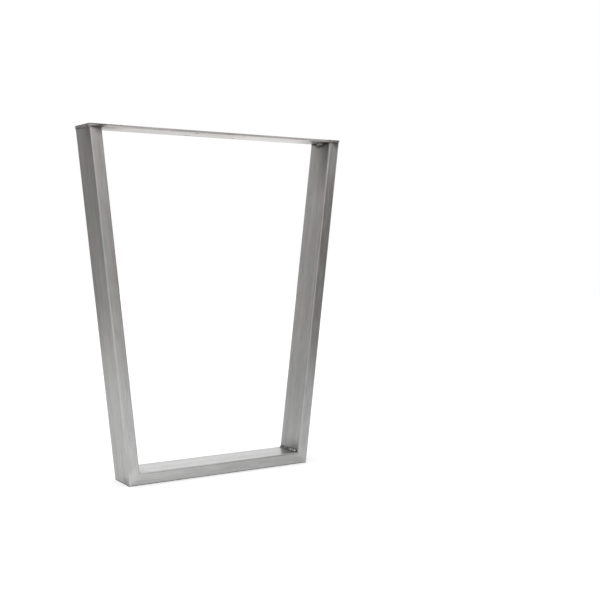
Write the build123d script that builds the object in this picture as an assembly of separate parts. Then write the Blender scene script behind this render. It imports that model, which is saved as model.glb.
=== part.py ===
from build123d import *
import os
from math import atan2, ceil, cos, degrees, radians, sin

# V-shaped table leg: a welded frame of flat-sided steel tube under a steel fixing plate.
# Millimetres. The floor is z = 0, x runs along the fixing plate, y is front to back,
# and the origin lies on the floor in the middle of the bottom bar.

# Frame, measured over its outside
frame_height = 710
top_width = 580
bottom_width = 420
frame_depth = 75

# Rectangular tube of the uprights and the bottom bar, its wide side set front to back
tube_width = 25
tube_wall = 2
tube_corner = 3.5

# Fixing plate, a length of rolled flat bar
plate_thickness = 5
plate_edge_radius = 0.8
hole_diameter = 9
hole_spacing_x = 110
hole_spacing_y = 50

# Weld beads: a leg is the bead's reach along each face, its crown is how far it bulges,
# and the rise is the share of each ripple that slopes up before it steps down
ripple_pitch = 5
ripple_depth = 0.4
ripple_rise = 0.8
end_drop = 0.9
cap_leg = 3.2
cap_crown = 1.0
stitch_length = 28
stitch_leg = 5
stitch_crown = 0.8
corner_leg = 5
corner_crown = 0.7

# Lines of the frame seen from the front, from the sizes above
plate_underside = frame_height - plate_thickness
spread = (top_width - bottom_width) / 2
lean = atan2(spread, plate_underside)
lean_degrees = degrees(lean)
level_width = tube_width / cos(lean)
top_corner_x = top_width / 2 - level_width
bottom_corner_x = bottom_width / 2 + tube_width * spread / plate_underside - level_width
seam_length = frame_depth - 2 * tube_corner


def tube_section():
    """Hollow section of the tube, rounded at its corners outside and inside."""
    bore_width = tube_width - 2 * tube_wall
    bore_depth = frame_depth - 2 * tube_wall
    bore_corner = max(tube_corner - tube_wall, tube_corner / 10)
    outside = RectangleRounded(tube_width, frame_depth, tube_corner)
    return outside - RectangleRounded(bore_width, bore_depth, bore_corner)


def tube_between(start, end):
    """Length of tube whose middle line runs from one point to another."""
    run = end - start
    across = run.normalized().cross(Vector(0, 1, 0))
    section = Plane(origin=start, x_dir=across, z_dir=run.normalized()) * tube_section()
    return extrude(section, amount=run.length)


def mitre_plane(side):
    """Plane of the mitre at a bottom corner, facing up into the upright."""
    outer = Vector(side * bottom_width / 2, 0, 0)
    inner = Vector(side * bottom_corner_x, 0, tube_width)
    cut = (inner - outer).normalized()
    return Plane(origin=outer, x_dir=cut, z_dir=Vector(0, side, 0).cross(cut))


def upright():
    """Left upright, cut level under the plate and mitred onto the bottom bar."""
    outer_foot = Vector(-bottom_width / 2, 0, 0)
    outer_head = Vector(-top_width / 2, 0, plate_underside)
    to_middle = Vector(cos(lean), 0, sin(lean)) * tube_width / 2
    spare = (outer_head - outer_foot).normalized() * tube_width
    tube = tube_between(outer_foot + to_middle - spare, outer_head + to_middle + spare)
    tube = split(tube, bisect_by=Plane.XY.offset(plate_underside), keep=Keep.BOTTOM)
    return split(tube, bisect_by=mitre_plane(-1), keep=Keep.TOP)


def bottom_bar():
    """Level tube on the floor, mitred at both ends."""
    end = Vector(bottom_width / 2 + tube_width, 0, 0)
    middle = Vector(0, 0, tube_width / 2)
    tube = tube_between(middle - end, middle + end)
    for side in (-1, 1):
        tube = split(tube, bisect_by=mitre_plane(side), keep=Keep.BOTTOM)
    return tube


def top_plate():
    """Flat bar with eased long edges and four fixing holes in a rectangle."""
    middle = Location((0, 0, plate_underside + plate_thickness / 2))
    plate = middle * Box(top_width, frame_depth, plate_thickness)
    plate = fillet(plate.edges().filter_by(Axis.X), plate_edge_radius)
    hole = Cylinder(hole_diameter / 2, 2 * plate_thickness)
    places = GridLocations(hole_spacing_x, hole_spacing_y, 2, 2)
    return plate - [middle * place * hole for place in places]


def rippled_rod(radius, length):
    """Round rod along Y of overlapping ripples, each one a cone that ends in a short step."""
    ripples = max(2, ceil(length / ripple_pitch))
    step = length / ripples
    half = length / 2
    valley = radius - ripple_depth
    tip = valley - end_drop
    outline = [(half, tip), (half, 0), (-half, 0), (-half, tip)]
    for ripple in range(ripples):
        start = ripple * step - half
        if ripple > 0:
            outline.append((start, valley))
        outline.append((start + ripple_rise * step, radius))
    return revolve(Plane.YZ * make_face(Polyline(*outline, close=True)), axis=Axis.Y)


def weld_bead(corner_x, corner_z, first_face, last_face, leg, crown, length):
    """Rippled bead laid along Y in a corner of the left side.

    The two faces that meet at the corner are given by the directions in which they run
    away from it, in degrees from +X towards +Z, and the bead fills the angle between.
    """
    opening = last_face - first_face
    half_chord = leg * sin(radians(opening / 2))
    chord_distance = leg * cos(radians(opening / 2))
    radius = (half_chord**2 + crown**2) / (2 * crown)
    setback = radius - crown - chord_distance
    reach = 2 * (leg + crown)
    rod = Pos(0, 0, setback) * rippled_rod(radius, length)
    strip = Rectangle(length, reach, align=(Align.CENTER, Align.MIN))
    wedge = revolve(Plane.YZ * strip, axis=Axis.Y, revolution_arc=opening)
    bead = rod & Rot(0, 180 - opening / 2, 0) * wedge
    turn = -90 - (first_face + last_face) / 2
    return Pos(corner_x, 0, corner_z) * Rot(0, turn, 0) * bead


def outer_top_weld():
    """Low bead over the whole joint between the plate's end and the upright's outside."""
    return weld_bead(
        -top_width / 2, plate_underside, 90, 270 + lean_degrees, cap_leg, cap_crown, seam_length
    )


def inner_top_weld():
    """Short stitch under the plate, in the middle of the upright's inside."""
    return weld_bead(
        -top_corner_x, plate_underside, lean_degrees - 90, 0, stitch_leg, stitch_crown, stitch_length
    )


def inner_bottom_weld():
    """Fillet between the bottom bar's top and the upright's inside."""
    return weld_bead(
        -bottom_corner_x, tube_width, 0, 90 + lean_degrees, corner_leg, corner_crown, seam_length
    )


nodes = {"top_plate": top_plate(), "bottom_bar": bottom_bar()}
sided = {
    "upright": upright(),
    "outer_top_weld": outer_top_weld(),
    "inner_top_weld": inner_top_weld(),
    "inner_bottom_weld": inner_bottom_weld(),
}
for name, left in sided.items():
    nodes["left_" + name] = left
    nodes["right_" + name] = mirror(left, about=Plane.YZ)

os.makedirs("parts", exist_ok=True)
for name, shape in nodes.items():
    export_step(shape, "parts/" + name + ".step")
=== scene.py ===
import math
import random
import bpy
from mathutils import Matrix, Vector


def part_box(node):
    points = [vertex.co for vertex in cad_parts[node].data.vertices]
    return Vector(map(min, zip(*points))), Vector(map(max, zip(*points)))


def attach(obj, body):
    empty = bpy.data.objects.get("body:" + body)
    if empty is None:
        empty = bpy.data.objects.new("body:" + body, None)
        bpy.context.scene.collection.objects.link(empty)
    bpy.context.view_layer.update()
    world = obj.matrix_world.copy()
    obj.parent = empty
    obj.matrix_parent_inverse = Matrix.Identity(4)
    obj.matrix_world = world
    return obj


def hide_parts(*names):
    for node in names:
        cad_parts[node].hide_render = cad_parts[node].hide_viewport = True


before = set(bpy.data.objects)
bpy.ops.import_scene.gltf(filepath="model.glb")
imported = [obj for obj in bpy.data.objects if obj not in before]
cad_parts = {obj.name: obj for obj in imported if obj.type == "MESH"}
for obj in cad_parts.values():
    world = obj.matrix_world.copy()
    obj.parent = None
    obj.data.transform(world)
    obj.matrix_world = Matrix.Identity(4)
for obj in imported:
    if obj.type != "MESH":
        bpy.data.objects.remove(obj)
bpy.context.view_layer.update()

from types import SimpleNamespace

import bmesh
import bpy
from bpy.props import FloatProperty, FloatVectorProperty, IntProperty, PointerProperty
from mathutils import Matrix, Vector

bl_info = {
    "name": "V-shaped table leg",
    "version": (1, 0, 0),
    "blender": (4, 5, 0),
    "location": "3D View > Sidebar > Table leg",
    "description": "Finishes a welded steel table leg and sets it in a plain studio",
    "category": "Object",
}

BODY = "root"
MM = 0.001
WHITE = (1.0, 1.0, 1.0, 1.0)

# How much brighter the steel is where it was ground, and at the painted highlight on the
# plate's right end
GROUND_AND_HIGHLIGHT_GAIN = 1.18

# Beads: how far each bulges, how far it sinks into its faces, how far it ends short of the
# frame's front and back, the voxels of its skin, the depth at which a groove's painted shade
# is darkest, and the width of the painted shade at the toes
FILLET_CROWN = 0.6 * MM
STITCH_CROWN = 0.6 * MM
CAP_CROWN = 1.0 * MM
BEAD_SINK = 0.04 * MM
SEAM_INSET = 4.2 * MM
BEAD_VOXEL = 0.28 * MM
GROOVE_DEPTH = 0.9 * MM
TOE_WIDTH = 1.3 * MM

# Ripples: how deep their middles lie, as a share of the corner's depth, half their length
# in steps, and the size of the first and the last
RIPPLE_SUNK = 0.3
RIPPLE_REACH = 0.88
END_RIPPLE = 0.82

# Studio, with directions in degrees from +X towards +Y. The walls leave an opening behind
# the object, and they are darker to its right, behind it on the left, and low in front.
FLOOR_RADIUS = 7.0
WALL_RADIUS = 1.7
WALL_HEIGHT = 1.8
WALL_TONE = 0.78
OPEN_FROM = -12
OPEN_TO = 92
RIGHT_WALL = -38
BACK_WALL = 152
FRONT_WALL = -85
LAMP_SPREAD = 80
LAMP_TURN = (-14, -10, 0)
WORLD_LIGHT = 0.45

# Lines of the frame, read from its pieces. Metres, with x along the plate and z up.
plate_low, plate_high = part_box("top_plate")
bar_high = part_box("bottom_bar")[1]
inner_foot_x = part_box("right_upright")[0].x
underside_z = plate_low.z
plate_top_z = plate_high.z
head_x = plate_high.x
foot_x = bar_high.x
bar_top_z = bar_high.z
face_y = bar_high.y
lean = math.atan2(head_x - foot_x, underside_z)
inner_head_x = inner_foot_x + (underside_z - bar_top_z) * math.tan(lean)
lean_degrees = math.degrees(lean)


class SteelFinish(bpy.types.PropertyGroup):
    """Bare steel of the tubes and the plate."""

    light: FloatVectorProperty(
        name="Light steel", description="Colour where the steel is brightest",
        default=(0.60, 0.599, 0.596), subtype="COLOR", min=0, max=1)
    dark: FloatVectorProperty(
        name="Dark steel", description="Colour where the steel is dullest",
        default=(0.40, 0.399, 0.396), subtype="COLOR", min=0, max=1)
    # Also the colour of the painted shade along the foot and down the rear corners, and of the
    # dark line on the plate's rim.
    soot_and_shade: FloatVectorProperty(
        name="Weld soot", description="Colour of the burnt film beside a weld",
        default=(0.075, 0.066, 0.062), subtype="COLOR", min=0, max=1)
    # Colour of the painted shade below the top joints, round the bottom corners and at the
    # outer feet, and of the sooty spots and painted shade on the front faces under the plate.
    smoke_and_shade: FloatVectorProperty(
        name="Weld smoke", description="Colour of the steel under the thin smoke of a weld",
        default=(0.13, 0.127, 0.125), subtype="COLOR", min=0, max=1)
    streak: FloatProperty(
        name="Streak width", description="Width of the brush marks along a piece",
        default=0.9 * MM, min=0.1 * MM, unit="LENGTH")
    roughness: FloatProperty(
        name="Roughness", description="How blurred the steel's reflections are",
        default=0.36, min=0, max=1, subtype="FACTOR")
    soot_reach: FloatProperty(
        name="Soot reach", description="How far the burnt film runs from a weld",
        default=6 * MM, min=0, unit="LENGTH")


class WeldLook(bpy.types.PropertyGroup):
    """Weld beads laid in the corners of the frame."""

    metal: FloatVectorProperty(
        name="Weld metal", description="Colour of the bead's crests",
        default=(0.60, 0.595, 0.59), subtype="COLOR", min=0, max=1)
    # Colour of the painted shade in the bead's grooves, at its edges and right under the plate.
    bead_shade: FloatVectorProperty(
        name="Bead's edge", description="Colour where the bead runs into the steel",
        default=(0.09, 0.088, 0.086), subtype="COLOR", min=0, max=1)
    ground_metal: FloatVectorProperty(
        name="Ground weld metal", description="Colour of the outside bead where it is ground",
        default=(0.74, 0.735, 0.73), subtype="COLOR", min=0, max=1)
    # Colour of the painted shade in the outside bead's pits, at its edges and right under the
    # plate.
    ground_bead_shade: FloatVectorProperty(
        name="Ground bead's edge", description="Colour of the outside bead's pits and edges",
        default=(0.26, 0.256, 0.253), subtype="COLOR", min=0, max=1)
    pitch: FloatProperty(
        name="Ripple pitch", description="Distance from one ripple to the next",
        default=3.6 * MM, min=0.5 * MM, unit="LENGTH")
    fillet_leg: FloatProperty(
        name="Fillet leg", description="Reach of a bottom corner's bead along each face",
        default=4.7 * MM, min=MM, unit="LENGTH")
    stitch_leg: FloatProperty(
        name="Stitch leg", description="Reach of a top stitch along each face",
        default=4.7 * MM, min=MM, unit="LENGTH")
    stitch_length: FloatProperty(
        name="Stitch length", description="Length of the stitch under the plate",
        default=26 * MM, min=5 * MM, unit="LENGTH")
    cap_leg: FloatProperty(
        name="Cap leg", description="Reach of the outside bead along each face",
        default=2.9 * MM, min=MM, unit="LENGTH")
    ground_to: FloatProperty(
        name="Ground to", description="How far the outside bead stands out after grinding",
        default=0.80 * MM, min=0.1 * MM, unit="LENGTH")
    seed: IntProperty(
        name="Seed", description="Starts the beads' uneven steps", default=7, min=0)


class StudioLook(bpy.types.PropertyGroup):
    """Floor, lamp and camera."""

    floor: FloatVectorProperty(
        name="Floor", description="Colour of the floor",
        default=(0.86, 0.86, 0.86), subtype="COLOR", min=0, max=1)
    floor_glow: FloatProperty(
        name="Floor lift", description="Light that the floor shows by itself, up to white",
        default=0.40, min=0, max=1)
    lamp: FloatProperty(
        name="Lamp", description="Light of the large soft lamp above, in watts a square metre",
        default=1.4, min=0)
    camera_place: FloatVectorProperty(
        name="Camera", description="Place of the camera",
        default=(-1.0084, -1.8687, 0.4992), subtype="TRANSLATION", unit="LENGTH")
    heading: FloatProperty(
        name="Heading", description="Direction of view, clockwise from +Y",
        default=math.radians(33.191), subtype="ANGLE", unit="ROTATION")
    tilt: FloatProperty(
        name="Tilt", description="How far the camera looks down",
        default=math.radians(3.637), subtype="ANGLE", unit="ROTATION")
    roll: FloatProperty(
        name="Roll", description="Turn of the camera about its own view",
        default=math.radians(0.457), subtype="ANGLE", unit="ROTATION")
    lens: FloatProperty(
        name="Lens", description="Focal length in millimetres", default=60.5, min=1)


# Node trees

def feed(tree, socket, value):
    """Link a socket to an input, or set the input to a value."""
    if isinstance(value, bpy.types.NodeSocket):
        tree.links.new(value, socket)
    else:
        socket.default_value = value


def add_node(tree, kind, feeds, **settings):
    """New node with its settings and inputs."""
    node = tree.nodes.new(kind)
    for name, value in settings.items():
        setattr(node, name, value)
    for name, value in feeds.items():
        feed(tree, node.inputs[name], value)
    return node


def arithmetic(tree, operation, *values):
    """Result of one operation on numbers."""
    node = add_node(tree, "ShaderNodeMath", dict(enumerate(values)), operation=operation)
    return node.outputs[0]


def vector_maths(tree, operation, *vectors):
    """Result of one operation on vectors, a number for a distance or a dot product."""
    node = add_node(
        tree, "ShaderNodeVectorMath", dict(enumerate(vectors)), operation=operation)
    return node.outputs["Value" if operation in ("DISTANCE", "DOT_PRODUCT") else "Vector"]


def axes(tree, vector):
    """The x, y and z of a vector."""
    parts = add_node(tree, "ShaderNodeSeparateXYZ", {"Vector": vector})
    return parts.outputs["X"], parts.outputs["Y"], parts.outputs["Z"]


def product(tree, *values):
    """All values multiplied together."""
    total = values[0]
    for value in values[1:]:
        total = arithmetic(tree, "MULTIPLY", total, value)
    return total


def largest(tree, *values):
    """The largest of the values."""
    most = values[0]
    for value in values[1:]:
        most = arithmetic(tree, "MAXIMUM", most, value)
    return most


def add_shares(tree, total, *shares):
    """A value with a share of each other value added to it."""
    for value, share in shares:
        total = arithmetic(tree, "MULTIPLY_ADD", value, share, total)
    return total


def noise(tree, vector, scale, detail=3.0, roughness=0.55):
    """Soft noise from 0 to 1, with one scale for all axes or a scale for each."""
    if isinstance(scale, float):
        scale = (scale, scale, scale)
    stretched = vector_maths(tree, "MULTIPLY", vector, scale)
    feeds = {"Vector": stretched, "Scale": 1.0, "Detail": detail, "Roughness": roughness}
    return add_node(tree, "ShaderNodeTexNoise", feeds).outputs[0]


def ramp(tree, value, low, high, to_low=0.0, to_high=1.0):
    """Value spread smoothly from one range to another."""
    feeds = {"Value": value, "From Min": low, "From Max": high,
             "To Min": to_low, "To Max": to_high}
    node = add_node(tree, "ShaderNodeMapRange", feeds, interpolation_type="SMOOTHSTEP")
    return node.outputs[0]


def fade(tree, value, low, high, full=1.0):
    """Full up to the low end, and 0 from the high end on."""
    return ramp(tree, value, low, high, full, 0.0)


def by_side(tree, x, left, right):
    """One value on the left of the frame and another on the right."""
    return ramp(tree, x, -50 * MM, 50 * MM, left, right)


def blend(tree, factor, first, second, mode="MIX"):
    """Two colours mixed by a factor."""
    node = add_node(
        tree, "ShaderNodeMix", {0: factor}, data_type="RGBA", blend_type=mode)
    feed(tree, node.inputs[6], first)
    feed(tree, node.inputs[7], second)
    return node.outputs[2]


def toned(colour, tone=1.0):
    """Opaque colour made lighter or darker."""
    return (*(tone * part for part in colour), 1.0)


def empty_material(name):
    """Material, its cleared tree and its output."""
    material = bpy.data.materials.new(name)
    material.use_nodes = True
    tree = material.node_tree
    tree.nodes.clear()
    return material, tree, tree.nodes.new("ShaderNodeOutputMaterial")


def object_place(tree):
    """Coordinates of a point in its own object."""
    return tree.nodes.new("ShaderNodeTexCoord").outputs["Object"]


def metal_material(name):
    """Metal material, its tree, its shader and its object coordinates."""
    material, tree, output = empty_material(name)
    shader = add_node(tree, "ShaderNodeBsdfPrincipled", {"Metallic": 1.0})
    tree.links.new(shader.outputs[0], output.inputs["Surface"])
    return material, tree, shader, object_place(tree)


def surface_bump(tree, shader, height, depth, strength):
    """Fine relief of the given depth in the shading."""
    feeds = {"Height": height, "Distance": depth, "Strength": strength}
    bump = add_node(tree, "ShaderNodeBump", feeds)
    tree.links.new(bump.outputs[0], shader.inputs["Normal"])


# Steel

def lengthwise(tree, place, turn):
    """Coordinates turned about Y so that z runs along the piece."""
    feeds = {"Vector": place, "Rotation": (0.0, turn, 0.0)}
    return add_node(tree, "ShaderNodeMapping", feeds).outputs[0]


def brush_marks(tree, along, width):
    """Hairline, fine and coarse marks that run along the piece, each from 0 to 1."""
    fine = 1 / width
    hair = fine * 3.5
    coarse = fine / 5
    return (ramp(tree, noise(tree, along, (hair, hair, hair / 80)), 0.36, 0.64),
            ramp(tree, noise(tree, along, (fine, fine, fine / 60)), 0.32, 0.68),
            noise(tree, along, (coarse, coarse, coarse / 12), detail=4.0))


def line_distance(tree, across, height, point):
    """Distance to a line along Y, given by its x and z."""
    flat = add_node(tree, "ShaderNodeCombineXYZ", {"X": across, "Z": height}).outputs[0]
    return vector_maths(tree, "DISTANCE", flat, (point[0], 0.0, point[1]))


def whereabouts(tree, place):
    """Sockets that say where a point of the steel lies, shared by its patches and films.

    Across and depth are its distances from the middle, and waver is an uneven noise. The
    sockets from inner_side to more_at_right are shares: of the uprights' two sides, of
    what lies between the front and the back face, of what lies below the plate, and of
    the frame's right side.
    """
    x, y, z = axes(tree, place)
    across = arithmetic(tree, "ABSOLUTE", x)
    depth = arithmetic(tree, "ABSOLUTE", y)
    over_joint = arithmetic(tree, "MINIMUM", across, inner_head_x)
    leaned = add_shares(tree, across, (z, -math.tan(lean)))
    return SimpleNamespace(
        place=place, x=x, y=y, z=z, across=across, depth=depth, over_joint=over_joint,
        from_joint=line_distance(tree, over_joint, z, (inner_head_x, underside_z)),
        from_corner=line_distance(tree, across, z, (inner_foot_x, bar_top_z)),
        from_foot=line_distance(tree, across, z, (foot_x, 0.0)),
        inner_side=fade(tree, leaned, inner_foot_x, inner_foot_x + 8 * MM),
        outer_side=ramp(tree, leaned, foot_x - 5 * MM, foot_x - MM),
        behind_faces=fade(tree, depth, face_y - 6 * MM, face_y - 1.5 * MM),
        below_plate=ramp(tree, z, underside_z + 0.2 * MM, underside_z + MM, 1.0, 0.10),
        more_at_right=by_side(tree, x, 0.3, 1.0),
        waver=noise(tree, place, 150.0, detail=4.0, roughness=0.65))


def burnt_film(tree, at, reach):
    """Burnt film round the top joints, beside the stitches and beside the bottom beads."""
    spread = add_shares(tree, -1.3 * reach, (at.waver, 2.6 * reach))
    wavy_joint = arithmetic(tree, "ADD", at.from_joint, spread)
    at_joint = product(tree, fade(tree, wavy_joint, 0.15 * reach, reach, 0.92), at.below_plate,
                       ramp(tree, at.outer_side, 0.0, 1.0, 1.0, 0.18))
    wavy_corner = arithmetic(tree, "ADD", at.from_corner, spread)
    flecks = ramp(tree, noise(tree, at.place, 280.0), 0.44, 0.56, 0.35, 1.5)
    at_corner = product(tree, fade(tree, wavy_corner, 0.8 * reach, 1.5 * reach, 0.26),
                        at.behind_faces, at.more_at_right, flecks)
    wavy_stitch = add_shares(tree, at.from_joint, (spread, 0.4))
    at_stitch = product(tree, fade(tree, wavy_stitch, 6 * MM, 13 * MM, 0.72),
                        fade(tree, at.depth, 13 * MM, 22 * MM), at.inner_side, at.below_plate)
    return largest(tree, at_joint, at_corner, at_stitch)


def near_point(tree, place, centre, near, far):
    """1 round a point, fading to 0 at the far distance."""
    return fade(tree, vector_maths(tree, "DISTANCE", place, centre), near, far)


def front_soot_and_shade(tree, at):
    """Dark spots on the front faces right under the plate, sooty in part and painted shade in
    part, and a thin band of painted shade on the left that also darkens the edge's highlight.
    """
    left_spot = near_point(
        tree, at.place, (-inner_head_x - 3 * MM, -face_y, underside_z - MM), 0.0, 19 * MM)
    right_spot = near_point(
        tree, at.place, (head_x - 9 * MM, -face_y, underside_z - 3 * MM), 4 * MM, 14 * MM)
    flecks = ramp(tree, noise(tree, at.place, 330.0), 0.38, 0.58, 0.45, 1.0)
    # Painted shade: a band under the plate on the left front, over the edge's highlight.
    left_shade_band = product(
        tree, ramp(tree, at.z, underside_z - 6 * MM, underside_z - 1.5 * MM, 0.0, 0.5),
        fade(tree, at.z, underside_z, underside_z + 0.5 * MM),
        fade(tree, at.y, 1.5 * MM - face_y, 5 * MM - face_y), by_side(tree, at.x, 1.0, 0.0))
    return largest(tree, product(tree, left_spot, 0.92), left_shade_band,
                   product(tree, right_spot, flecks, 0.76))


def painted_shade_and_smoke(tree, at):
    """Painted shade below the top joints, round the bottom corners and at the outer feet,
    thinning out away from them and mostly towards the front, with the front faces' sooty spots
    and painted shade.
    """
    under_plate = add_shares(tree, -1.2 * inner_head_x, (at.over_joint, 2.2))
    from_joint = line_distance(tree, under_plate, at.z, (inner_head_x, underside_z))
    drift = noise(tree, at.place, (45.0, 45.0, 14.0), detail=2.0)
    drifted = add_shares(tree, from_joint, (drift, 40 * MM))
    # Painted shade below the plate on the inner and outer sides.
    inner = product(tree, fade(tree, drifted, 25 * MM, 190 * MM, 0.80), at.inner_side,
                    ramp(tree, at.y, -28 * MM, 26 * MM, 1.0, 0.22))
    outer = product(tree, fade(tree, drifted, 15 * MM, 90 * MM, 0.64), at.outer_side,
                    fade(tree, at.y, -36 * MM, 14 * MM))
    # Painted shade in the bottom inner corners and at the outer feet.
    corner = product(tree, fade(tree, at.from_corner, 5 * MM, 34 * MM, 0.47), at.inner_side,
                     at.more_at_right, ramp(tree, at.y, -30 * MM, 28 * MM, 1.0, 0.42))
    foot = product(tree, fade(tree, at.from_foot, 2 * MM, 20 * MM, 0.45),
                   fade(tree, at.y, -26 * MM, 3 * MM))
    smoke_and_shade = product(tree, largest(tree, inner, outer, corner, foot), at.behind_faces,
                    ramp(tree, at.below_plate, 0.1, 1.0, 0.3, 1.0))
    return largest(tree, smoke_and_shade, front_soot_and_shade(tree, at))


def edge_shade_and_rim_line(tree, at):
    """Painted shade: a contact shadow round the foot and a dark line down the rear corners; and
    a dark line along the top of the plate's rim.
    """
    # Painted contact shadow along the bottom edge.
    foot = fade(tree, at.z, 0.5 * MM, 2.5 * MM, 0.85)
    # Painted shade down the rear outer corners, patchy.
    patchy = ramp(tree, noise(tree, at.place, (40.0, 40.0, 12.0)), 0.40, 0.60, 0.25, 0.68)
    rear_corner = product(
        tree, ramp(tree, at.y, face_y - 2.8 * MM, face_y - MM), at.outer_side, patchy)
    at_edge = largest(tree, ramp(tree, at.depth, face_y - MM, face_y - 0.3 * MM),
                      ramp(tree, at.across, head_x - MM, head_x - 0.3 * MM))
    rim_start = by_side(tree, at.x, inner_head_x - 120 * MM, inner_head_x - 12 * MM)
    rim = product(tree, at_edge,
                  ramp(tree, at.z, plate_top_z - 2.2 * MM, plate_top_z - 1.4 * MM),
                  ramp(tree, at.across, rim_start, inner_head_x),
                  ramp(tree, at.waver, 0.40, 0.52, 0.5, 0.95))
    return largest(tree, foot, rear_corner, rim)


def ground_and_highlight(tree, at):
    """Share of bright steel: ground at the mitres, and a painted highlight on the edges of the
    plate's right end.
    """
    mitre = Vector((inner_foot_x - foot_x, 0.0, bar_top_z)).normalized()
    normal = Vector((mitre.z, 0.0, -mitre.x))
    folded = vector_maths(tree, "ABSOLUTE", at.place)
    away = arithmetic(tree, "SUBTRACT", vector_maths(tree, "DOT_PRODUCT", folded, normal),
                      normal.x * foot_x + 7 * MM)
    uneven = noise(tree, at.place, 60.0, detail=2.0)
    away = add_shares(tree, arithmetic(tree, "ABSOLUTE", away), (uneven, 10 * MM))
    on_face = ramp(tree, at.depth, face_y - 2 * MM, face_y - 0.5 * MM)
    at_mitre = product(tree, fade(tree, away, 6 * MM, 22 * MM), on_face,
                       by_side(tree, at.x, 0.36, 0.22))
    # Painted highlight on the edges of the plate's right end.
    plate_end_highlight = product(
        tree, ramp(tree, at.x, head_x - 12 * MM, head_x - 9 * MM), on_face,
        ramp(tree, at.z, underside_z - 0.2 * MM, underside_z + 0.2 * MM),
        fade(tree, at.z, plate_top_z - 2.4 * MM, plate_top_z - 2.0 * MM))
    return largest(tree, at_mitre, plate_end_highlight)


def heat_cast(tree, at):
    """Faint olive and pink cast that the steel takes towards the hotter top welds."""
    olive = (1.0, 0.997, 0.965, 1.0)
    pink = (1.03, 0.985, 0.975, 1.0)
    patches = ramp(tree, noise(tree, at.place, (42.0, 42.0, 9.0), detail=2.0), 0.40, 0.56)
    upper = ramp(tree, at.z, 0.15, 0.40)
    return blend(tree, upper, WHITE, blend(tree, patches, olive, pink))


def painted_light_on_faces(tree, at, painted_face_gain):
    """Painted light on the front and the back: brighter at the left foot, and brighter or
    darker with height.
    """
    left_foot_light = product(
        tree, fade(tree, at.x, -150 * MM, 10 * MM, 0.10), fade(tree, at.z, 0.30, 0.50))
    changes = (
        (0.17, 0.25, 0.91),
        (0.42, 0.58, 1.13),
        (0.61, 0.66, 1.08),
        (underside_z - 0.3 * MM, underside_z, 0.93),
    )
    steps = [ramp(tree, at.z, low, high, 1.0, change) for low, high, change in changes]
    return product(tree, add_shares(tree, painted_face_gain, (left_foot_light, painted_face_gain)), *steps)


def painted_light_on_sides(tree, at, lit_stretch):
    """Painted light on the sides: one brighter band, given by its height, its reach and how
    bright.
    """
    height, reach, more = lit_stretch
    past = ramp(tree, at.z, height, height + reach, 1 + more, 1.0)
    return ramp(tree, ramp(tree, at.z, height - reach, height), 0.0, 1.0, 1.0, past)


def painted_light_on_plate(tree, at):
    """Painted light along the plate, brighter on its right half but for the end."""
    end = ramp(tree, at.x, 195 * MM, 250 * MM, 1.14, 1.0)
    along = ramp(tree, at.x, 15 * MM, 95 * MM, 0.99, end)
    return ramp(tree, at.z, underside_z - 0.3 * MM, underside_z, 1.0, along)


def steel(name, turn, finish, tone, painted_face_gain=1.0, polish=0.0, lit_stretch=(0.35, 0.10, 0.0)):
    """Brushed bare steel with mottling, with a burnt film and heat tint at the welds, and with
    painted light and shade.

    The turn lays the brush marks along the piece. The tone is for the whole piece and is partly
    painted light, the face gain is painted light on its front and back, the polish is for the
    bar's top, and the band is painted light on the sides of a tube.
    """
    material, tree, shader, place = metal_material(name)
    at = whereabouts(tree, place)
    along = lengthwise(tree, place, turn)
    hair, fine, coarse = brush_marks(tree, along, finish.streak)
    bands = noise(tree, along, (48.0, 48.0, 2.0), detail=2.0)
    clouds = noise(tree, along, (14.0, 14.0, 4.0), detail=4.0, roughness=0.6)
    mottle = noise(tree, along, (90.0, 90.0, 40.0))

    coarse_share = arithmetic(tree, "MULTIPLY", coarse, 0.26)
    marks = add_shares(tree, coarse_share, (fine, 0.16), (hair, 0.10))
    shade = add_shares(tree, marks, (clouds, 0.35), (bands, 0.50), (mottle, 0.25))
    colour = blend(tree, ramp(tree, shade, 0.53, 1.09),
                   toned(finish.dark, tone), toned(finish.light, tone))
    # Brighter where the mitres were ground, and a painted highlight at the plate's right end.
    colour = blend(
        tree, ground_and_highlight(tree, at), colour, toned(finish.light, GROUND_AND_HIGHLIGHT_GAIN * tone))
    colour = blend(tree, 1.0, colour, heat_cast(tree, at), "MULTIPLY")
    # Painted light and shade: the sides, the front and back, and the plate made brighter or
    # darker by where they lie.
    level = ramp(tree, at.depth, face_y - 2.5 * MM, face_y - 0.5 * MM,
                 painted_light_on_sides(tree, at, lit_stretch), painted_light_on_faces(tree, at, painted_face_gain))
    level = product(tree, level, painted_light_on_plate(tree, at))
    colour = blend(tree, 1.0, colour, level, "MULTIPLY")

    scratched = ramp(tree, coarse, 0.50, 0.66, 1.0, 0.45)
    burnt = product(tree, burnt_film(tree, at, finish.soot_reach), scratched)
    # Painted shade below the plate, in the corners and at the feet, with the sooty spots on the
    # front faces.
    colour = blend(tree, painted_shade_and_smoke(tree, at), colour, toned(finish.smoke_and_shade))
    # Burnt film at the welds, with the painted shade along the foot and down the rear corners
    # and the dark line on the plate's rim.
    film = largest(tree, burnt, edge_shade_and_rim_line(tree, at))
    colour = blend(tree, film, colour, toned(finish.soot_and_shade))
    tree.links.new(colour, shader.inputs["Base Color"])

    gloss = add_shares(tree, finish.roughness - 0.12, (coarse, 0.16), (hair, 0.08),
                       (clouds, 0.12), (burnt, 0.25))
    polished = ramp(tree, at.z, bar_top_z - 2 * MM, bar_top_z, 0.0, polish)
    gloss = arithmetic(tree, "SUBTRACT", gloss, polished)
    tree.links.new(gloss, shader.inputs["Roughness"])
    surface_bump(tree, shader, marks, 0.02 * MM, 0.6)
    return material


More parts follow.
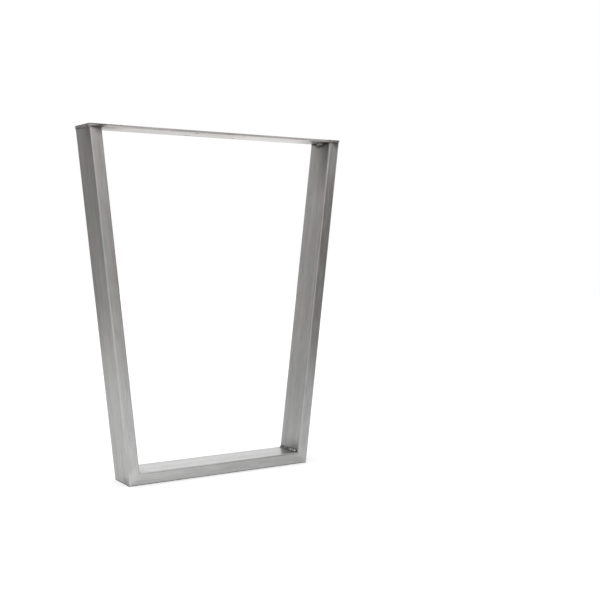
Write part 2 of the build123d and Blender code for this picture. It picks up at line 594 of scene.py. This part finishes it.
def weld_metal(name, crest, bead_shade, flush_metal):
    """Rippled metal, with painted shade in its grooves and where it runs into the steel.

    Outside, it also has painted shade right under the plate, and at the front of the left side
    it is ground flush with the tube's face.
    """
    material, tree, shader, place = metal_material(name)
    x, y, z = axes(tree, place)
    grain = noise(tree, place, 700.0, detail=4.0)
    specks = noise(tree, place, 330.0)
    lumps = noise(tree, place, 150.0, detail=2.0)
    shade = add_node(tree, "ShaderNodeAttribute", {}, attribute_name="shade")
    # Painted shade in the grooves and at the toes, from the shade attribute, mottled by random
    # specks and lumps.
    shade_and_specks = add_shares(tree, shade.outputs["Fac"], (specks, 0.9), (lumps, 1.4))
    colour = blend(tree, ramp(tree, shade_and_specks, 1.10, 1.50), toned(crest), toned(bead_shade))
    across = arithmetic(tree, "ABSOLUTE", x)
    # Painted shade on the outside bead right under the plate.
    under_plate = product(
        tree, fade(tree, z, underside_z - 0.8 * MM, underside_z + 0.4 * MM, 0.9),
        ramp(tree, z, underside_z - 2.6 * MM, underside_z - 1.7 * MM, 0.35, 1.0),
        ramp(tree, across, head_x - 4 * MM, head_x - 3 * MM))
    colour = blend(tree, under_plate, colour, toned(bead_shade))
    flush = product(tree, fade(tree, y, 4 * MM - face_y, 6 * MM - face_y),
                    by_side(tree, x, 1.0, 0.0))
    colour = blend(tree, flush, colour, toned(flush_metal))
    tree.links.new(colour, shader.inputs["Base Color"])
    tree.links.new(ramp(tree, grain, 0.3, 0.7, 0.30, 0.52), shader.inputs["Roughness"])
    surface_bump(tree, shader, grain, 0.10 * MM, 0.5)
    return material


def give_material(node_name, material):
    """Put a material on a piece of the frame."""
    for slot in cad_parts[node_name].material_slots:
        slot.material = material


# Weld beads

def bead_frame(corner, faces):
    """Matrix from a bead's own axes to the frame's left side.

    Its z points out of the corner, halfway between the faces, and its y runs along the seam.
    """
    turn = Matrix.Rotation(math.radians(90 - (faces[0] + faces[1]) / 2), 4, "Y")
    return Matrix.Translation((corner[0], 0.0, corner[1])) @ turn


def lay_ripples(half_chord, chord_distance, crown, length, pitch, draw):
    """Overlapping round steps of weld metal along the seam, in the bead's own axes."""
    sunk = chord_distance * RIPPLE_SUNK
    rise = chord_distance + crown - sunk
    at_chord = (chord_distance - sunk) / rise
    width = half_chord / math.sqrt(1 - at_chord**2)
    steps = max(2, round(length / pitch))
    step = length / steps
    bm = bmesh.new()
    for index in range(steps):
        grow = draw.uniform(0.84, 1.12)
        if index in (0, steps - 1):
            grow = END_RIPPLE
        along = (index + 0.5) * step - length / 2 + draw.uniform(-0.12, 0.12) * step
        place = Matrix.Translation((draw.uniform(-0.22, 0.22) * half_chord, along, sunk))
        slant = Matrix.Rotation(math.radians(draw.uniform(14, 24)), 4, "X")
        size = Matrix.Diagonal((width * grow, step * RIPPLE_REACH, rise * grow, 1.0))
        bmesh.ops.create_uvsphere(
            bm, u_segments=24, v_segments=14, radius=1.0, matrix=place @ slant @ size)
    return bm


def one_skin(bm):
    """Overlapping shells turned into one closed skin."""
    mesh = bpy.data.meshes.new("bead_shells")
    bm.to_mesh(mesh)
    bm.free()
    shells = bpy.data.objects.new("bead_shells", mesh)
    bpy.context.scene.collection.objects.link(shells)
    remesh = shells.modifiers.new("skin", "REMESH")
    remesh.mode = "VOXEL"
    remesh.voxel_size = BEAD_VOXEL
    skin = bmesh.new()
    skin.from_object(shells, bpy.context.evaluated_depsgraph_get())
    bpy.data.objects.remove(shells)
    bpy.data.meshes.remove(mesh)
    return skin


def shape_bead(faces, leg, crown, length, pitch, draw):
    """Skin of one bead in its own axes, with a shade that is high in its grooves."""
    half_opening = math.radians(faces[1] - faces[0]) / 2
    half_chord = leg * math.sin(half_opening)
    chord_distance = leg * math.cos(half_opening)
    bm = one_skin(lay_ripples(half_chord, chord_distance, crown, length, pitch, draw))
    bmesh.ops.smooth_vert(
        bm, verts=bm.verts[:], factor=0.5, use_axis_x=True, use_axis_y=True, use_axis_z=True)
    radius = (half_chord**2 + crown**2) / (2 * crown)
    centre = chord_distance + crown - radius
    shades = bm.verts.layers.float.new("shade")
    for vert in bm.verts:
        groove = radius - math.hypot(vert.co.x, vert.co.z - centre)
        vert[shades] = min(max(groove / GROOVE_DEPTH, 0.0), 1.0)
    return bm


def cut_flat(bm, point, outward):
    """Cut away what lies beyond a plane and close the cut."""
    geometry = bm.verts[:] + bm.edges[:] + bm.faces[:]
    cut = bmesh.ops.bisect_plane(
        bm, geom=geometry, dist=1e-7, plane_co=point, plane_no=outward, clear_outer=True)
    rim = [item for item in cut["geom_cut"] if isinstance(item, bmesh.types.BMEdge)]
    bmesh.ops.holes_fill(bm, edges=rim, sides=0)


def seat_bead(bm, corner, faces, ground_to):
    """Put a bead in its corner on the left, cut it to its faces and raise its toes' shade."""
    bmesh.ops.transform(bm, matrix=bead_frame(corner, faces), verts=bm.verts[:])
    seat = Vector((corner[0], 0.0, corner[1]))
    inward = []
    for angle in (math.radians(faces[0] - 90), math.radians(faces[1] + 90)):
        inward.append(Vector((math.cos(angle), 0.0, math.sin(angle))))
    if faces[1] - faces[0] < 180:
        for direction in inward:
            cut_flat(bm, seat + direction * BEAD_SINK, direction)
    else:
        cut_flat(bm, seat + Vector((BEAD_SINK, 0.0, 0.0)), Vector((1.0, 0.0, 0.0)))
    if ground_to:
        cut_flat(bm, seat - Vector((ground_to, 0.0, 0.0)), Vector((-1.0, 0.0, 0.0)))
    shades = bm.verts.layers.float["shade"]
    for vert in bm.verts:
        away = min(-(vert.co - seat).dot(direction) for direction in inward)
        vert[shades] = max(vert[shades], 1 - away / TOE_WIDTH)


def add_object(name, bm, material):
    """New object in the scene from a mesh under construction, with one material."""
    mesh = bpy.data.meshes.new(name)
    bm.to_mesh(mesh)
    bm.free()
    mesh.materials.append(material)
    item = bpy.data.objects.new(name, mesh)
    bpy.context.scene.collection.objects.link(item)
    return item


def weld(name, node_name, metal, corner, faces, size, ground_to, side, pitch, draw):
    """One bead that replaces a bead of the frame.

    The corner is its x and z on the left side, and the faces run away from it in two
    directions, in degrees from +X towards +Z. The size is the bead's leg, crown and
    length, and the side is -1 for left and 1 for right.
    """
    bm = shape_bead(faces, *size, pitch, draw)
    seat_bead(bm, corner, faces, ground_to)
    if side > 0:
        bmesh.ops.scale(bm, vec=(-1.0, 1.0, 1.0), verts=bm.verts[:])
    bmesh.ops.recalc_face_normals(bm, faces=bm.faces[:])
    for face in bm.faces:
        face.smooth = True
    bead = add_object(name, bm, metal)
    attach(bead, BODY)
    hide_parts(node_name)


class TABLELEG_OT_finish_tubes(bpy.types.Operator):
    """Give the uprights and the bottom bar brushed steel that runs along each tube"""

    bl_idname = "table_leg.finish_tubes"
    bl_label = "Finish the tubes"

    def execute(self, context):
        finish = context.scene.table_leg_steel
        # Columns: piece, turn of the brush marks, tone, which is partly painted light, painted
        # light on the front and back, the bar's polish, and a painted bright band on the sides:
        # its height, reach and how bright.
        tubes = (
            ("left_upright", lean, 0.95, 1.05, 0.0, (0.45, 0.13, 0.09)),
            ("right_upright", -lean, 1.01, 0.97, 0.0, (0.30, 0.18, 0.12)),
            ("bottom_bar", -math.pi / 2, 1.11, 0.955, 0.12),
        )
        for node_name, turn, *tones in tubes:
            give_material(node_name, steel("steel_" + node_name, turn, finish, *tones))
        return {"FINISHED"}


class TABLELEG_OT_finish_plate(bpy.types.Operator):
    """Give the fixing plate brushed steel that runs along it"""

    bl_idname = "table_leg.finish_plate"
    bl_label = "Finish the plate"

    def execute(self, context):
        finish = context.scene.table_leg_steel
        give_material("top_plate", steel("steel_plate", -math.pi / 2, finish, 1.27))
        return {"FINISHED"}


class TABLELEG_OT_lay_welds(bpy.types.Operator):
    """Lay the rippled weld beads in the corners of the frame"""

    bl_idname = "table_leg.lay_welds"
    bl_label = "Lay the welds"

    def execute(self, context):
        look = context.scene.table_leg_weld
        draw = random.Random(look.seed)
        rippled = weld_metal("rippled_weld_metal", look.metal, look.bead_shade, look.ground_metal)
        ground = weld_metal(
            "ground_weld_metal", look.ground_metal, look.ground_bead_shade, look.ground_metal)
        seam = 2 * (face_y - SEAM_INSET)
        beads = (
            ("bottom_bead", "inner_bottom_weld", rippled,
             (-inner_foot_x, bar_top_z), (0, 90 + lean_degrees),
             (look.fillet_leg, FILLET_CROWN, seam), None),
            ("stitch_bead", "inner_top_weld", rippled,
             (-inner_head_x, underside_z), (lean_degrees - 90, 0),
             (look.stitch_leg, STITCH_CROWN, look.stitch_length), None),
            ("cap_bead", "outer_top_weld", ground,
             (-head_x, underside_z), (90, 270 + lean_degrees),
             (look.cap_leg, CAP_CROWN, seam), look.ground_to),
        )
        for side, word in ((-1, "left_"), (1, "right_")):
            for name, node_name, *shape in beads:
                weld(word + name, word + node_name, *shape, side, look.pitch, draw)
        return {"FINISHED"}


class TABLELEG_OT_set_stage(bpy.types.Operator):
    """Set the floor, the studio's walls, the lamp and the camera"""

    bl_idname = "table_leg.set_stage"
    bl_label = "Set the stage"

    def execute(self, context):
        studio = context.scene.table_leg_studio
        lay_floor(studio)
        stand_walls()
        hang_lamp(studio)
        light_world()
        set_camera(context.scene, studio)
        context.scene.view_settings.view_transform = "Standard"
        return {"FINISHED"}


# Stage

def stage_object(name, bm, material):
    """Object of the studio that is no part of the leg."""
    item = add_object(name, bm, material)
    return item


def plain_seen(tree, mirrored=1.0):
    """1 for rays from the camera, and a share for those that metal or glass sends on."""
    path = tree.nodes.new("ShaderNodeLightPath").outputs
    sent = arithmetic(tree, "ADD", path["Is Glossy Ray"], path["Is Transmission Ray"])
    sent = product(tree, arithmetic(tree, "MINIMUM", sent, 1.0), mirrored)
    return largest(tree, path["Is Camera Ray"], sent)


def lay_floor(studio):
    """Pale floor that shows white and keeps the object's shadow."""
    material, tree, output = empty_material("floor_paper")
    matt = add_node(tree, "ShaderNodeBsdfDiffuse", {"Color": toned(studio.floor)})
    y = axes(tree, object_place(tree))[1]
    mirrored = ramp(tree, y, -0.3, 0.3, 0.66, 0.46)
    lift = product(tree, plain_seen(tree, mirrored), studio.floor_glow)
    glow = add_node(tree, "ShaderNodeEmission", {"Strength": lift})
    both = add_node(tree, "ShaderNodeAddShader", {0: matt.outputs[0], 1: glow.outputs[0]})
    tree.links.new(both.outputs[0], output.inputs["Surface"])
    bm = bmesh.new()
    bmesh.ops.create_circle(bm, cap_ends=True, segments=96, radius=FLOOR_RADIUS)
    stage_object("floor", bm, material)


def toward(tree, place, direction):
    """How nearly a point of the walls lies in a direction, 1 straight ahead."""
    azimuth = math.radians(direction)
    aim = (math.cos(azimuth) / WALL_RADIUS, math.sin(azimuth) / WALL_RADIUS, 0.0)
    return vector_maths(tree, "DOT_PRODUCT", place, aim)


def wall_light(tree, place):
    """Light of the walls, which is less in their dark parts."""
    z = axes(tree, place)[2]
    low = fade(tree, z, 0.6, 1.5)
    right = product(tree, ramp(tree, toward(tree, place, RIGHT_WALL), 0.78, 0.94),
                    ramp(tree, z, 0.5, 1.2, 1.0, 0.25))
    back = product(tree, ramp(tree, toward(tree, place, BACK_WALL), 0.76, 0.94), low)
    front = product(tree, ramp(tree, toward(tree, place, FRONT_WALL), 0.72, 0.97, 0.04, 0.16),
                    fade(tree, z, 0.35, 0.80))
    dark = largest(tree, right, back)
    return add_shares(tree, WALL_TONE, (low, -0.10), (front, -1.0), (dark, -0.56))


def stand_walls():
    """Grey studio walls that only reflections see, open behind the object."""
    material, tree, output = empty_material("studio_walls")
    glow = add_node(
        tree, "ShaderNodeEmission", {"Strength": wall_light(tree, object_place(tree))})
    tree.links.new(glow.outputs[0], output.inputs["Surface"])
    bm = bmesh.new()
    bmesh.ops.create_circle(bm, cap_ends=False, segments=72, radius=WALL_RADIUS)
    wall = bmesh.ops.extrude_edge_only(bm, edges=bm.edges[:])
    lifted = [item for item in wall["geom"] if isinstance(item, bmesh.types.BMVert)]
    bmesh.ops.translate(bm, vec=(0.0, 0.0, WALL_HEIGHT), verts=lifted)
    opening = []
    for face in bm.faces:
        middle = face.calc_center_median()
        if OPEN_FROM < math.degrees(math.atan2(middle.y, middle.x)) < OPEN_TO:
            opening.append(face)
    bmesh.ops.delete(bm, geom=opening, context="FACES")
    walls = stage_object("studio_walls", bm, material)
    walls.visible_camera = False
    walls.visible_shadow = False
    walls.visible_diffuse = False


def hang_lamp(studio):
    """One large soft lamp above, a little to the front left, which the steel doesn't mirror."""
    lamp = bpy.data.lights.new("soft_lamp", "SUN")
    lamp.energy = studio.lamp
    lamp.angle = math.radians(LAMP_SPREAD)
    item = bpy.data.objects.new("soft_lamp", lamp)
    item.rotation_euler = [math.radians(angle) for angle in LAMP_TURN]
    item.visible_glossy = False
    bpy.context.scene.collection.objects.link(item)


def light_world():
    """White where it is seen, and a soft even light on what is matt."""
    world = bpy.data.worlds.new("studio_air")
    bpy.context.scene.world = world
    world.use_nodes = True
    tree = world.node_tree
    tree.nodes.clear()
    output = tree.nodes.new("ShaderNodeOutputWorld")
    level = ramp(tree, plain_seen(tree), 0.0, 1.0, WORLD_LIGHT, 1.0)
    glow = add_node(tree, "ShaderNodeBackground", {"Color": WHITE, "Strength": level})
    tree.links.new(glow.outputs[0], output.inputs["Surface"])


def set_camera(scene, studio):
    """Camera that sees the leg as the photo shows it."""
    data = bpy.data.cameras.new("camera")
    data.lens = studio.lens
    camera = bpy.data.objects.new("camera", data)
    heading = Matrix.Rotation(-studio.heading, 4, "Z")
    upright = Matrix.Rotation(math.radians(90) - studio.tilt, 4, "X")
    roll = Matrix.Rotation(studio.roll, 4, "Z")
    camera.matrix_world = Matrix.Translation(studio.camera_place) @ heading @ upright @ roll
    scene.collection.objects.link(camera)
    scene.camera = camera


class TABLELEG_PT_panel(bpy.types.Panel):
    """Sizes, colours and steps of the table leg"""

    bl_idname = "TABLELEG_PT_panel"
    bl_label = "Table leg"
    bl_space_type = "VIEW_3D"
    bl_region_type = "UI"
    bl_category = "Table leg"

    def draw(self, context):
        layout = self.layout
        for group_name in GROUPS:
            group = getattr(context.scene, group_name)
            box = layout.box()
            for name in group.__annotations__:
                box.prop(group, name)
        for operator in OPERATORS:
            layout.operator(operator.bl_idname)


GROUPS = {
    "table_leg_steel": SteelFinish,
    "table_leg_weld": WeldLook,
    "table_leg_studio": StudioLook,
}
OPERATORS = (
    TABLELEG_OT_finish_tubes,
    TABLELEG_OT_finish_plate,
    TABLELEG_OT_lay_welds,
    TABLELEG_OT_set_stage,
)
CLASSES = (*GROUPS.values(), *OPERATORS, TABLELEG_PT_panel)


def register():
    for item in CLASSES:
        bpy.utils.register_class(item)
    for name, group in GROUPS.items():
        setattr(bpy.types.Scene, name, PointerProperty(type=group))


def unregister():
    for name in GROUPS:
        delattr(bpy.types.Scene, name)
    for item in reversed(CLASSES):
        bpy.utils.unregister_class(item)


def main():
    register()
    bpy.ops.table_leg.finish_tubes()
    bpy.ops.table_leg.finish_plate()
    bpy.ops.table_leg.lay_welds()
    bpy.ops.table_leg.set_stage()


if __name__ == "__main__":
    main()
